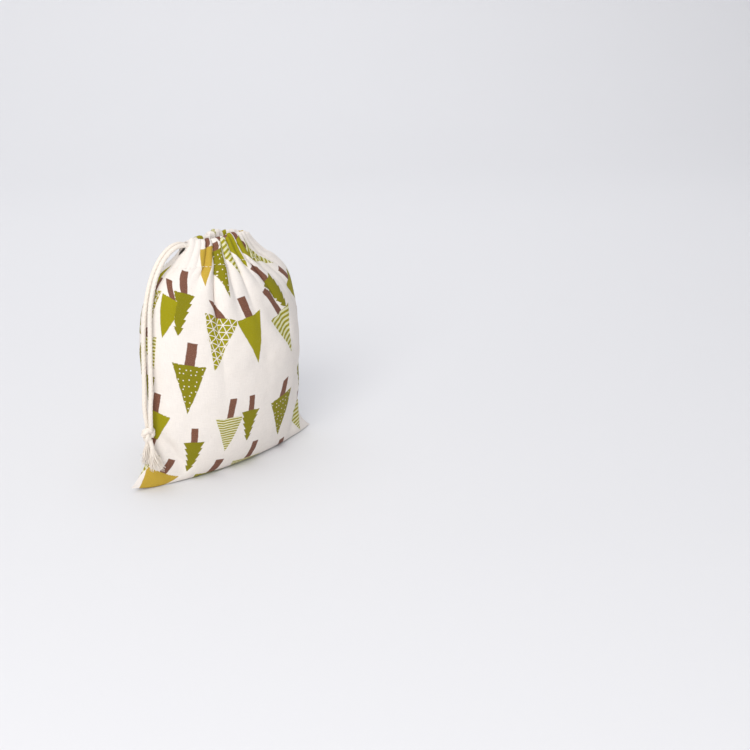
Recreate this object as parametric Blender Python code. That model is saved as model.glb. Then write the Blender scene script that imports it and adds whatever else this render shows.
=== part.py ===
"""Drawstring gift pouch, standing filled and drawn shut.

Frame: X runs along the pouch's width, the front faces -Y, +Z is up, and the
origin lies on the floor under the middle of the pouch. The drawstring leaves the
casing through the slit in the left seam, at -X. Sizes are in metres.
"""

import math

import bmesh
import bpy
from mathutils import Vector

# ---------------------------------------------------------------- driving sizes
BELLY_HALF_WIDTH = 0.082
BELLY_HALF_DEPTH = 0.045
BELLY_HEIGHT = 0.088  # where the pouch is widest
BODY_HEIGHT = 0.190  # floor to the lower edge of the casing
BASE_HALF_DEPTH = 0.015  # the flat of the bottom fold
CORNER_REACH = 0.020  # how far the bottom corners stand out past the belly
MOUTH_HALF_WIDTH = 0.034
MOUTH_HALF_DEPTH = 0.0105

CLOTH = 0.0009  # thickness of one layer
BASE_CLOTH = 0.0008
GAP = 0.0003  # clearance between neighbouring pieces
SEAM_GAP = 0.0008  # between the front and the back panel

HEM_DEPTH = 0.017  # height of the casing
CASING_END_IN = 0.002  # the casing stops this far short of the panels' rim
SLIT_END_HALF = 0.0004  # half the slit of the mouth, at its ends
SLIT_SWELL = 0.0036  # what it gains towards the middle
PLEATS = 6
CASING_PLEAT = 0.0005
PANEL_PLEAT = 0.0014

ALLOWANCE_WIDTH = 0.008
ALLOWANCE_THICK = 0.0016
ALLOWANCE_INSET = 0.0036  # from the seam to the allowance's outer edge
ALLOWANCE_LOW = 0.014  # height of the allowance's foot
ALLOWANCE_TOP_IN = 0.006  # its top stops this far below the casing
THREAD_RADIUS = 0.00035
BARTACK = (0.0009, 0.0040, 0.0011)  # along X, Y and Z

CORD_RADIUS = 0.002
CASING_HALF_THICK = CORD_RADIUS + GAP + CLOTH  # the casing fits round the cord
CORD_DROP = 0.0045  # the cord's centre below the top of the casing
RUN_END_IN = 0.001  # the cord in the casing stops this far inside its ends
KNOT_HALF = (0.0064, 0.0058, 0.0062)
KNOT_CENTRE = (-0.0885, -0.0075, 0.0525)
STRAND_GAP = 0.0005  # between the two strands
STRAND_APART = CORD_RADIUS + 0.5 * STRAND_GAP  # half the distance between their centres
STRAND_LEAN = -0.0007  # the front strand lies this much further in than the back one
TAIL_SPREAD = {-1: -0.0055, 1: 0.0025}  # how far the front and the back tail fan out

# ------------------------------------------------------------------- mesh counts
AROUND = 30
UP = 15
CASING_STEPS = 30
SEAM_STEPS = 16


# --------------------------------------------------------------- pouch's surface
def ease(share):
    """Smooth step from 0 to 1."""
    share = min(1.0, max(0.0, share))
    return share * share * (3.0 - 2.0 * share)


def section(z):
    """Half width, half depth and pointedness of the pouch's section at a height."""
    if z <= BELLY_HEIGHT:
        up = z / BELLY_HEIGHT
        width = BELLY_HALF_WIDTH + CORNER_REACH * (1.0 - up) ** 6
        swell = math.sin(0.5 * math.pi * up) ** 0.5
        depth = BASE_HALF_DEPTH + (BELLY_HALF_DEPTH - BASE_HALF_DEPTH) * swell
        pinch = 1.1 + 0.7 * (1.0 - up) ** 3
    else:
        up = min(1.0, (z - BELLY_HEIGHT) / (BODY_HEIGHT - BELLY_HEIGHT))
        wide = (1.0 - up**5) ** (1.0 / 1.2)
        deep = (1.0 - up**2.5) ** (1.0 / 1.15)
        width = MOUTH_HALF_WIDTH + (BELLY_HALF_WIDTH - MOUTH_HALF_WIDTH) * wide
        depth = MOUTH_HALF_DEPTH + (BELLY_HALF_DEPTH - MOUTH_HALF_DEPTH) * deep
        pinch = 1.1
    return width, depth, pinch


def wall_point(angle, z, side, inset):
    """Point on a panel. The angle runs from the left seam, 0, to the right one, pi;
    side is -1 for the front and 1 for the back."""
    width, depth, pinch = section(z)
    swell = math.sin(angle) ** pinch if 0.0 < angle < math.pi else 0.0
    gather = PANEL_PLEAT * ease(z / BODY_HEIGHT * 2.5 - 1.5)
    depth += gather * math.cos(2.0 * PLEATS * angle) - inset
    half_gap = 0.5 * SEAM_GAP
    return Vector(
        (
            -(width - inset) * math.cos(angle),
            side * (half_gap + (depth - half_gap) * swell),
            z,
        )
    )


def rim_heights():
    """Heights of a panel's rows, closer together where the section turns fast."""
    low = BASE_CLOTH + GAP
    rows = []
    for i in range(UP + 1):
        share = i / UP
        share = 0.45 * ease(share) + 0.55 * share
        rows.append(low + (BODY_HEIGHT - low) * share)
    return rows


# ------------------------------------------------------------------------ makers
def material(name, colour, roughness):
    """Principled material in a plain colour."""
    made = bpy.data.materials.new(name)
    made.use_nodes = True
    shader = made.node_tree.nodes["Principled BSDF"]
    shader.inputs["Base Color"].default_value = (*colour, 1.0)
    shader.inputs["Roughness"].default_value = roughness
    shader.inputs["Metallic"].default_value = 0.0
    return made


def place(name, data, finish, origin=(0.0, 0.0, 0.0), smooth=True):
    """Links an object whose data is measured from its origin."""
    made = bpy.data.objects.new(name, data)
    bpy.context.scene.collection.objects.link(made)
    made.location = origin
    data.materials.append(finish)
    if smooth and isinstance(data, bpy.types.Mesh):
        data.shade_smooth()
        data.set_sharp_from_angle(angle=math.radians(40.0))
    return made


def mesh_of(name, rings, closed_ring, capped, origin=(0.0, 0.0, 0.0)):
    """Mesh through rows of points, with its faces turned outwards."""
    shift = Vector(origin)
    made = bmesh.new()
    rows = [[made.verts.new(Vector(p) - shift) for p in ring] for ring in rings]
    count = len(rows[0])
    for low, high in zip(rows, rows[1:]):
        for i in range(count if closed_ring else count - 1):
            j = (i + 1) % count
            made.faces.new((low[i], low[j], high[j], high[i]))
    if capped:
        made.faces.new(rows[0])
        made.faces.new(rows[-1])
    else:
        for i in range(count):
            j = (i + 1) % count
            made.faces.new((rows[-1][i], rows[-1][j], rows[0][j], rows[0][i]))
    bmesh.ops.recalc_face_normals(made, faces=made.faces)
    mesh = bpy.data.meshes.new(name)
    made.to_mesh(mesh)
    made.free()
    return mesh


def tube(name, points, radius, finish, origin=(0.0, 0.0, 0.0), resolution=2):
    """Round tube along points, with closed ends."""
    curve = bpy.data.curves.new(name, "CURVE")
    curve.dimensions = "3D"
    curve.bevel_depth = radius
    curve.bevel_resolution = resolution
    curve.use_fill_caps = True
    curve.render_resolution_u = 0
    line = curve.splines.new("POLY")
    line.points.add(len(points) - 1)
    for knot, point in zip(line.points, points):
        knot.co = (*(Vector(point) - Vector(origin)), 1.0)
    return place(name, curve, finish, origin, smooth=False)


def smooth_route(points, spacing):
    """Evenly spaced points on a smooth curve through the route's own points."""
    knots = [Vector(p) for p in points]
    knots = [2 * knots[0] - knots[1], *knots, 2 * knots[-1] - knots[-2]]
    fine = []
    for a, b, c, d in zip(knots, knots[1:], knots[2:], knots[3:]):
        for i in range(20):
            t = i / 20.0
            fine.append(
                0.5
                * (
                    2 * b
                    + (c - a) * t
                    + (2 * a - 5 * b + 4 * c - d) * t**2
                    + (3 * b - a - 3 * c + d) * t**3
                )
            )
    fine.append(knots[-2])
    length = sum((q - p).length for p, q in zip(fine, fine[1:]))
    count = max(2, round(length / spacing))
    route, run = [fine[0]], 0.0
    for p, q in zip(fine, fine[1:]):
        step = (q - p).length
        while len(route) < count and run + step >= length * len(route) / count:
            share = (length * len(route) / count - run) / step
            route.append(p.lerp(q, share))
        run += step
    return [*route, fine[-1]]


# ----------------------------------------------------------------- pouch's pieces
def panel(name, side, finish):
    """One face of the pouch, from the bottom fold to the casing."""
    rows = []
    for z in rim_heights():
        angles = [math.pi * i / AROUND for i in range(AROUND + 1)]
        outer = [wall_point(a, z, side, 0.0) for a in angles]
        inner = [wall_point(a, z, side, CLOTH) for a in reversed(angles)]
        rows.append(outer + inner)
    return place(name, mesh_of(name, rows, closed_ring=True, capped=True), finish)


def bottom_fold(finish):
    """Flat of the fold that the pouch stands on, a lens with a pointed end each side."""
    width, depth, pinch = section(0.0)
    rim = []
    for i in range(AROUND):
        angle = 2.0 * math.pi * (i + 0.5) / AROUND
        swell = math.copysign(abs(math.sin(angle)) ** pinch, math.sin(angle))
        rim.append((-width * math.cos(angle), -depth * swell))
    rows = [[(x, y, z) for x, y in rim] for z in (0.0, BASE_CLOTH)]
    mesh = mesh_of("bottom_fold", rows, closed_ring=True, capped=True)
    return place("bottom_fold", mesh, finish, smooth=False)


def seam_heights():
    """Heights along the inside of a side seam."""
    low, high = ALLOWANCE_LOW, BODY_HEIGHT - ALLOWANCE_TOP_IN
    return [low + (high - low) * i / SEAM_STEPS for i in range(SEAM_STEPS + 1)]


def seam_allowance(name, end, finish):
    """Both raw edges of a side seam, sewn together, standing into the pouch."""
    rows = []
    half = 0.5 * ALLOWANCE_THICK
    for z in seam_heights():
        edge = section(z)[0] - ALLOWANCE_INSET
        root = edge - ALLOWANCE_WIDTH
        rows.append(
            [
                (end * edge, -half, z),
                (end * edge, half, z),
                (end * root, half, z),
                (end * root, -half, z),
            ]
        )
    return place(name, mesh_of(name, rows, closed_ring=True, capped=True), finish)


def overcast_thread(name, end, finish):
    """Thread that binds the allowance's raw edge."""
    points = []
    for z in seam_heights():
        step = 0.001
        slope = (section(z + step)[0] - section(z - step)[0]) / (2.0 * step)
        clear = (GAP + THREAD_RADIUS) * math.hypot(1.0, slope)
        back = ALLOWANCE_INSET + ALLOWANCE_WIDTH + clear
        points.append((end * (section(z)[0] - back), 0.0, z))
    return tube(name, points, THREAD_RADIUS, finish)


# ---------------------------------------------------------------- casing and cord
def casing_reach():
    """Half the length of the casing."""
    return MOUTH_HALF_WIDTH - CASING_END_IN


def casing_middle(x, side):
    """Y of the casing's middle at a place along its length."""
    share = min(1.0, abs(x) / casing_reach())
    slit = SLIT_END_HALF + SLIT_SWELL * (1.0 - share**2)
    fold = CASING_PLEAT * math.sin(math.pi * PLEATS * x / casing_reach())
    return side * (slit + CASING_PLEAT + CASING_HALF_THICK + fold)


def round_slot(half_thick, low, high, count):
    """Upright slot shape with round ends, as offsets across and heights."""
    shape = []
    for centre, start in ((high - half_thick, 0.0), (low + half_thick, math.pi)):
        for i in range(count + 1):
            turn = start + math.pi * i / count
            across = half_thick * math.cos(turn)
            shape.append((across, centre + half_thick * math.sin(turn)))
    return shape


def casing_places():
    reach = casing_reach()
    return [-reach + 2.0 * reach * i / CASING_STEPS for i in range(CASING_STEPS + 1)]


def casing(name, side, finish):
    """Half of the hem tunnel: a flat tube, sewn shut below and open at both ends."""
    low = BODY_HEIGHT + GAP
    high = low + HEM_DEPTH
    outer = round_slot(CASING_HALF_THICK, low, high, 4)
    inner = round_slot(CASING_HALF_THICK - CLOTH, low + 2 * CLOTH, high - CLOTH, 4)
    rings = []
    for shape, places in ((outer, casing_places()), (inner, casing_places()[::-1])):
        for x in places:
            middle = casing_middle(x, side)
            rings.append([(x, middle + across, z) for across, z in shape])
    mesh = mesh_of(name, rings, closed_ring=True, capped=False)
    return place(name, mesh, finish)


def casing_stitches(name, side, finish):
    """Line of thread along the foot of the casing."""
    out = CASING_HALF_THICK + GAP + THREAD_RADIUS
    z = BODY_HEIGHT + GAP + CASING_HALF_THICK
    points = [(x, casing_middle(x, side) + side * out, z) for x in casing_places()]
    return tube(name, points, THREAD_RADIUS, finish)


def cord_height():
    return BODY_HEIGHT + GAP + HEM_DEPTH - CORD_DROP


def cord_run(name, side, finish):
    """Drawstring inside one half of the casing."""
    end = casing_reach() - RUN_END_IN
    places = [min(end, max(-end, x)) for x in casing_places()]
    points = [(x, casing_middle(x, side), cord_height()) for x in places]
    return tube(name, points, CORD_RADIUS, finish)


def slit_bartack(finish):
    """Close stitches under the slit that the cord leaves by."""
    x = -(casing_reach() + GAP + 0.5 * BARTACK[0])
    z = BODY_HEIGHT + GAP + 0.5 * BARTACK[2]
    made = bmesh.new()
    bmesh.ops.create_cube(made, size=1.0)
    bmesh.ops.scale(made, vec=BARTACK, verts=made.verts)
    mesh = bpy.data.meshes.new("slit_bartack")
    made.to_mesh(mesh)
    made.free()
    return place("slit_bartack", mesh, finish, (x, 0.0, z), smooth=False)


def exit_point(side):
    """Where a strand leaves the casing."""
    x = -casing_reach()
    return Vector((x - GAP, casing_middle(x, side), cord_height()))


def strand_route(side):
    """Route of a hanging strand, from the slit over the shoulder to the knot. It
    leans on the front of the seam, so the lanes lie along the cloth there."""
    lane = side * STRAND_APART
    lean = side * STRAND_LEAN
    x, y, z = KNOT_CENTRE
    return [
        exit_point(side),
        (-0.0385, lane * 1.45, 0.2052),
        (-0.0470, lane * 1.25 - 0.0004, 0.2045),
        (-0.0565, lane * 1.20 - 0.0012, 0.1995),
        (-0.0655, lane * 1.20 - 0.0024, 0.1905),
        (-0.0735, lane * 1.30 - 0.0040, 0.1775),
        (-0.0795, lane * 1.45 - 0.0054, 0.1600),
        (-0.0828 + lean, lane * 1.55 - 0.0064, 0.1400),
        (-0.0850 + lean, lane * 1.60 - 0.0070, 0.1150),
        (-0.0866 + lean, lane * 1.60 - 0.0074, 0.0920),
        (-0.0882 + lean, lane * 1.40 - 0.0075, 0.0740),
        (x + 0.0014, y + lane, z + KNOT_HALF[2] + GAP),
    ]


def tail_route(side):
    """Route of a cord's tail under the knot; the front one falls forwards."""
    x, y, z = KNOT_CENTRE
    top = z - KNOT_HALF[2] - GAP
    spread = TAIL_SPREAD[side]
    lane = y + side * STRAND_APART
    return [
        (x, lane, top),
        (x + 0.0003, lane + 0.40 * spread, top - 0.007),
        (x + 0.0002, lane + 0.80 * spread, top - 0.014),
        (x - 0.0012, lane + spread, top - 0.0225),
    ]


def strand(name, side, finish):
    """Hanging strand, with its origin on the hinge that it swings about."""
    points = smooth_route(strand_route(side), spacing=2.2 * 2 * CORD_RADIUS)
    hinge = (-casing_reach(), 0.0, cord_height())
    return tube(name, points, CORD_RADIUS, finish, hinge)


def knot(finish):
    """Outer shape of the overhand knot that ties both strands."""
    made = bmesh.new()
    bmesh.ops.create_uvsphere(made, u_segments=16, v_segments=10, radius=1.0)
    for corner in made.verts:
        lobes = 1.0 - 0.10 * math.cos(3.0 * math.atan2(corner.co.y, corner.co.x)) * (
            1.0 - corner.co.z**2
        )
        corner.co = (
            KNOT_HALF[0] * corner.co.x * lobes,
            KNOT_HALF[1] * corner.co.y * lobes,
            KNOT_HALF[2] * corner.co.z,
        )
    mesh = bpy.data.meshes.new("knot")
    made.to_mesh(mesh)
    made.free()
    return place("knot", mesh, finish, KNOT_CENTRE)


def tail(name, side, finish):
    points = smooth_route(tail_route(side), spacing=2.0 * 2 * CORD_RADIUS)
    return tube(name, points, CORD_RADIUS, finish, KNOT_CENTRE)


# -------------------------------------------------------------------------- model
def main():
    for old in list(bpy.data.objects):
        bpy.data.objects.remove(old, do_unlink=True)

    cloth = material("printed_cotton", (0.84, 0.80, 0.74), 0.9)
    lining = material("cotton_reverse", (0.78, 0.74, 0.68), 0.95)
    thread = material("white_thread", (0.90, 0.88, 0.84), 0.7)
    cord = material("cotton_cord", (0.90, 0.84, 0.74), 0.85)

    bottom_fold(cloth)
    for place_name, side in (("front", -1), ("back", 1)):
        panel(f"{place_name}_panel", side, cloth)
        casing(f"casing_{place_name}", side, cloth)
        casing_stitches(f"casing_stitches_{place_name}", side, thread)
        cord_run(f"drawstring_in_{place_name}_casing", side, cord)
        strand(f"{place_name}_strand", side, cord)
        tail(f"{place_name}_tail", side, cord)
    for place_name, end in (("left", -1), ("right", 1)):
        seam_allowance(f"{place_name}_seam_allowance", end, lining)
        overcast_thread(f"{place_name}_overcast_thread", end, thread)
    slit_bartack(thread)
    knot(cord)


main()
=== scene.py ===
"""Drawstring gift pouch: printed cloth, cord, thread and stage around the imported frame.

Lengths are in metres. X runs along the pouch's width, the front faces -Y and +Z is
up. The drawstring leaves the casing through the slit in the left seam, at -X.
"""

import math
import random

import bpy
import numpy as np
from bpy.props import FloatProperty, FloatVectorProperty, PointerProperty
from mathutils import Matrix, Vector, noise


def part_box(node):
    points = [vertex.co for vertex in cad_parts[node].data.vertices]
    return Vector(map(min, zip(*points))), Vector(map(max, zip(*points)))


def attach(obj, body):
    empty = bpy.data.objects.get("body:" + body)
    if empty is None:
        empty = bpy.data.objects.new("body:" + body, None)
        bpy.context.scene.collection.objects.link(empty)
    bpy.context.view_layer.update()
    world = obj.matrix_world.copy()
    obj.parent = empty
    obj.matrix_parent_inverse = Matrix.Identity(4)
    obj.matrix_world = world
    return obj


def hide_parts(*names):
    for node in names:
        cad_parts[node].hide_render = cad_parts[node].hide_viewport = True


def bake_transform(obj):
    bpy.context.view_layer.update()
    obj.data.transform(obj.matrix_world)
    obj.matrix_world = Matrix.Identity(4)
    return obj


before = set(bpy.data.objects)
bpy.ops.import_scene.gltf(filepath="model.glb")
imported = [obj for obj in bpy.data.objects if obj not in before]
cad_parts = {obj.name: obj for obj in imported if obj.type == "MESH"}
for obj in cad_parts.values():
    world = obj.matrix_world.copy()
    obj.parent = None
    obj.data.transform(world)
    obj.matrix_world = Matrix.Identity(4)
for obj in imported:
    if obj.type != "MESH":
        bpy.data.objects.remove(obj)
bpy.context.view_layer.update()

bl_info = {
    "name": "Drawstring Gift Pouch",
    "version": (1, 0, 0),
    "blender": (4, 5, 0),
    "location": "3D View > Sidebar > Gift Pouch",
    "description": "Builds a filled, gathered cotton pouch with a printed cloth and a knotted cord",
    "category": "Add Mesh",
}

SIDES = {"front": -1, "back": 1}
SEAMS = {"left": -1, "right": 1}
PANEL_LOW, PANEL_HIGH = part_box("front_panel")
MOUTH_REACH, _, CASING_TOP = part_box("casing_front")[1]
CORNER, BASE_DEPTH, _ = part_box("bottom_fold")[1]
KNOT_LOW, KNOT_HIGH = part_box("knot")
BARTACK_LOW, BARTACK_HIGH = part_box("slit_bartack")
RUN_LOW, RUN_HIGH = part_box("drawstring_in_front_casing")

BELLY_DEPTH = -PANEL_LOW[1]
CORD_HEIGHT = 0.5 * (RUN_LOW[2] + RUN_HIGH[2])
KNOT_MIDDLE = 0.5 * (Vector(KNOT_LOW) + Vector(KNOT_HIGH))


# ---- settings
def metres(name, description, default):
    return FloatProperty(name=name, description=description, default=default, unit="LENGTH")


def tint(name, description, default):
    return FloatVectorProperty(
        name=name, description=description, default=default, subtype="COLOR")


class PouchCloth(bpy.types.PropertyGroup):
    """Sizes and colours of the cloth."""

    belly_width: metres("Belly half width", "Half the pouch's width at its widest", 0.082)
    belly_height: metres("Belly height", "Height at which the pouch is widest", 0.088)
    flat_width: metres("Flat width", "Width of one face, laid flat", 0.204)
    flat_height: metres("Flat height", "Height of one face from the fold to the mouth", 0.240)
    hem: metres("Hem", "Cloth turned in at the mouth to make the casing", 0.018)
    thickness: metres("Cloth thickness", "Thickness of one layer", 0.0005)
    puff: metres("Puff", "How far the cloth stands out between the creases", 0.0022)
    ground: tint("Cotton", "Colour of the unprinted cotton", (0.872, 0.815, 0.757))
    olive: tint("Olive", "Main ink of the trees", (0.335, 0.300, 0.006))
    dark_olive: tint("Dark olive", "Ink of the darker trees", (0.150, 0.135, 0.008))
    mustard: tint("Mustard", "Ink of the yellow trees", (0.56, 0.37, 0.050))
    trunk: tint("Trunk brown", "Ink of the trunks", (0.165, 0.072, 0.046))
    pale: tint("Pale yellow", "Ink between a striped tree's stripes", (0.80, 0.78, 0.50))


class PouchCord(bpy.types.PropertyGroup):
    """Sizes and colours of the drawstring and the threads."""

    diameter: metres("Cord diameter", "Diameter of the twisted cord", 0.004)
    twist: metres("Lay length", "Length of one whole turn of the twist", 0.011)
    colour: tint("Cord", "Colour of the cotton cord", (0.90, 0.825, 0.735))
    thread: tint("Thread", "Colour of the sewing thread", (0.86, 0.83, 0.77))


class PouchStage(bpy.types.PropertyGroup):
    """Camera, floor and light."""

    azimuth: FloatProperty(
        name="Azimuth", description="Camera's turn about the pouch, in degrees",
        default=-38.0)
    elevation: FloatProperty(
        name="Elevation", description="Camera's height above the horizon, in degrees",
        default=20.0)
    distance: metres("Distance", "From the camera to the pouch's middle", 1.10)
    lens: FloatProperty(
        name="Focal length", description="Focal length in millimetres", default=59.6)
    floor: tint("Floor", "Colour of the sweep", (0.77, 0.77, 0.78))


def cloth_settings():
    return bpy.context.scene.pouch_cloth


def cord_settings():
    return bpy.context.scene.pouch_cord


# ---- shader writing
class Wire:
    """A node's output, or an expression on such outputs."""

    def __init__(self, tree, socket):
        self.tree = tree
        self.socket = socket

    def math(self, operation, *others, clamp=False):
        return node(self.tree, "ShaderNodeMath", (self, *others),
                    operation=operation, use_clamp=clamp)

    def __add__(self, other):
        return self.math("ADD", other)

    def __mul__(self, other):
        return self.math("MULTIPLY", other)

    def __sub__(self, other):
        return self.math("SUBTRACT", other)

    def __truediv__(self, other):
        return self.math("DIVIDE", other)

    def __rsub__(self, other):
        return node(self.tree, "ShaderNodeMath", (other, self), operation="SUBTRACT")

    def __abs__(self):
        return self.math("ABSOLUTE")

    __radd__ = __add__
    __rmul__ = __mul__


def node(tree, kind, values=(), output=0, **settings):
    """Makes a node: its settings first, then the values or links of its sockets."""
    made = tree.nodes.new(kind)
    for name, value in settings.items():
        setattr(made, name, value)
    pairs = values.items() if isinstance(values, dict) else enumerate(values)
    for key, value in pairs:
        if isinstance(value, Wire):
            tree.links.new(value.socket, made.inputs[key])
        elif value is not None:
            made.inputs[key].default_value = value
    return Wire(tree, made.outputs[output])


def mix_colour(tree, share, low, high):
    """Colour between two colours or wires."""
    made = tree.nodes.new("ShaderNodeMix")
    made.data_type = "RGBA"
    for name, value in (("Factor", share), ("A", low), ("B", high)):
        socket = next(s for s in made.inputs
                      if s.name == name and s.enabled and (name == "Factor" or s.type == "RGBA"))
        if isinstance(value, Wire):
            tree.links.new(value.socket, socket)
        else:
            socket.default_value = value if name == "Factor" else (*tuple(value)[:3], 1.0)
    return Wire(tree, next(s for s in made.outputs if s.type == "RGBA"))


def steep(wire, middle, softness):
    """0 below the middle and 1 above it, over a short soft step."""
    return ((wire - middle) / softness + 0.5).math("ADD", 0.0, clamp=True)


def spots(tree, place, scale, detail=2.0, roughness=0.5, stretch=None):
    """Noise from 0 to 1 over places."""
    if stretch:
        place = node(tree, "ShaderNodeVectorMath", (place, stretch), operation="MULTIPLY")
    return node(tree, "ShaderNodeTexNoise",
                {"Vector": place, "Scale": scale, "Detail": detail, "Roughness": roughness})


def attribute(tree, name):
    """A vector that the mesh carries."""
    return node(tree, "ShaderNodeAttribute", attribute_name=name, output="Vector")


def split(tree, wire):
    """The three parts of a vector."""
    parts = node(tree, "ShaderNodeSeparateXYZ", (wire,))
    return [Wire(tree, out) for out in parts.socket.node.outputs]


def bumped(tree, height, strength):
    """Normal tilted by a height in metres."""
    return node(tree, "ShaderNodeBump", {"Strength": strength, "Distance": 1.0, "Height": height})


def scaled(colour, *factors):
    """A colour times one factor, or times one for each channel."""
    return [c * factor for c, factor in zip(colour, factors * 3)]


def new_material(name):
    """Material with its tree, and its Principled shader cleared for use."""
    made = bpy.data.materials.new(name)
    made.use_nodes = True
    return made, made.node_tree, made.node_tree.nodes["Principled BSDF"]


def plug(tree, shader, **sockets):
    """Links or sets the shader's sockets, named with spaces as underscores."""
    for name, value in sockets.items():
        socket = shader.inputs[name.replace("_", " ")]
        if isinstance(value, Wire):
            tree.links.new(value.socket, socket)
        else:
            socket.default_value = value


THREAD_ACROSS, THREAD_ALONG = 2600.0, 130.0  # noise across and along a thread, per metre
WEAVE_PITCH = 0.00055


def cotton_base(tree, place, ground):
    """Undyed cotton: its colour, the height of weave and slubs, and the slubs alone."""
    warp = spots(tree, place, 1.0, 3.0, 0.65, (THREAD_ACROSS, THREAD_ALONG, 1.0))
    weft = spots(tree, place, 1.0, 3.0, 0.65, (THREAD_ALONG, THREAD_ACROSS, 1.0))
    slub = (warp + weft) * 0.5
    cloud = spots(tree, place, 45.0, 3.0)
    fleck = steep(spots(tree, place, 1.0, 2.0, 0.6, (900.0, 300.0, 1.0)), 0.70, 0.05)
    tone = mix_colour(tree, steep(slub, 0.5, 0.3), scaled(ground, 0.86), ground)
    tone = mix_colour(tree, (cloud - 0.35) * 0.5, tone, scaled(ground, 0.97, 0.94, 0.90))
    tone = mix_colour(tree, fleck * 0.35, tone, scaled(ground, 0.72, 0.62, 0.50))
    across, up, _ = split(tree, place)
    pitch = 2.0 * math.pi / WEAVE_PITCH
    weave = (across * pitch).math("SINE") * (up * pitch).math("SINE")
    height = weave * 0.00004 + slub * 0.00022 + cloud * 0.0002
    return tone, height, slub


# ---- print
PLAIN, DOTTED, STEPPED, STRIPED, FINE, NET, YELLOW = range(7)

# Each tree: kind, place of its tip across and up the flat face, height and base
# width and turn in millimetres and degrees, and the trunk's length and lean. The
# print is one-way on a strip that is folded at the bottom, so the trees hang tip
# down on the front and stand tip up on the back.
TREES = (
    (PLAIN, -84, 148, 36, 24, -12, 13, -0.90),
    (STEPPED, -70, 154, 36, 23, -6, 19, -0.42),
    (NET, -41, 124, 48, 33, -14, 11, -0.75),
    (YELLOW, -45, 196, 36, 26, 5, 13, 0.30),
    (DOTTED, -20, 186, 44, 21, 13, 7, 0.10),
    (STRIPED, 1, 202, 38, 18, 24, 10, 0.0),
    (PLAIN, 16, 207, 34, 24, 18, 12, 0.0),
    (PLAIN, 41, 203, 34, 22, 25, 12, 0.0),
    (STRIPED, 71, 198, 40, 27, 48, 12, 0.0),
    (STEPPED, 50, 160, 35, 21, 28, 20, -0.10),
    (STRIPED, 47, 119, 40, 32, 10, 28, -0.35),
    (PLAIN, 3, 126, 42, 29, 6, 18, -0.15),
    (DOTTED, -66, 84, 45, 29, -5, 20, 0.10),
    (FINE, -28, 46, 34, 29, -2, 18, 0.10),
    (STEPPED, -6, 52, 31, 20, -2, 15, -0.05),
    (STEPPED, -56, 25, 32, 19, 5, 14, 0.05),
    (DOTTED, 37, 36, 46, 32, 3, 14, 0.35),
    (PLAIN, -33, -20, 40, 30, -4, 17, 0.0),
    (FINE, -6, -8, 36, 32, -12, 20, 0.0),
    (PLAIN, 38, -26, 38, 28, -4, 14, 0.10),
    (PLAIN, -95, 46, 32, 27, -2, 18, 0.10),
    (YELLOW, -83, -16, 38, 37, -7, 14, 0.10),
    (STRIPED, -109, -2, 42, 26, -12, 18, 0.0),
    (DOTTED, -103, 64, 46, 24, 2, 14, 0.0),
    (NET, -95, 153, 34, 20, 8, 12, 0.0),
    (STRIPED, -92, 118, 28, 18, 12, 8, 0.0),
    (PLAIN, 92, 145, 36, 24, 24, 15, 0.0),
    (DOTTED, 97, 98, 34, 22, 12, 14, 0.0),
    (STEPPED, 88, 54, 38, 24, 6, 16, 0.10),
    (STRIPED, 74, 10, 36, 26, -6, 16, 0.0),
    (PLAIN, 104, 18, 36, 24, 4, 16, 0.0),
)


def tree_places(side):
    """Trees of one face; the back takes the front's, turned half round."""
    height = cloth_settings().flat_height
    for kind, across, up, tall, wide, turn, trunk, lean in TREES:
        tip = Vector((across, up)) * 0.001
        turn = math.radians(turn)
        if side > 0:
            tip = Vector((-tip.x, height - tip.y))
            turn += math.pi
        yield kind, tip, turn, tall * 0.001, wide / tall, trunk / tall, lean


# Lengths on a tree are shares of its height: y runs from the tip (0) over the base
# (1) to the trunk's end, and x across.
NOWHERE = (9.0, 9.0, 0.0)  # a place far outside its tree
NO_TREE = (-1.0, 1.0, 0.0)
ZONE_MARGIN = 0.05  # how far the cloth that a tree owns reaches past its outline
TRUNK_ZONE = 0.15
TRUNK_HALF = 0.095
TRUNK_SLANT = 1.25  # sideways for each unit along a trunk of lean 1
TRUNK_EASE = 0.05  # length over which a trunk's own spread sets in
TRUNK_SPREAD = 0.35
GATHER_FOOT, GATHER_RISE = 0.175, 0.03  # metres up the flat face, where gathers draw it in


def in_tree(points, tip, turn, tall, lean):
    """Places on the flat face as x and y of a tree."""
    away = (points - np.array(tip)) / tall
    x = away[:, 0] * math.cos(turn) + away[:, 1] * math.sin(turn)
    y = away[:, 1] * math.cos(turn) - away[:, 0] * math.sin(turn)
    # A trunk keeps its breadth where the gathers draw the cloth together.
    drawn = np.clip((points[:, 1] - GATHER_FOOT) / GATHER_RISE, 0.0, 1.0)
    drawn = drawn * np.clip((y - 1.0) / TRUNK_EASE, 0.0, 1.0)
    upright = x - TRUNK_SLANT * lean * np.maximum(0.0, y - 1.0)
    return upright * (1.0 - TRUNK_SPREAD * drawn), y


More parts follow.
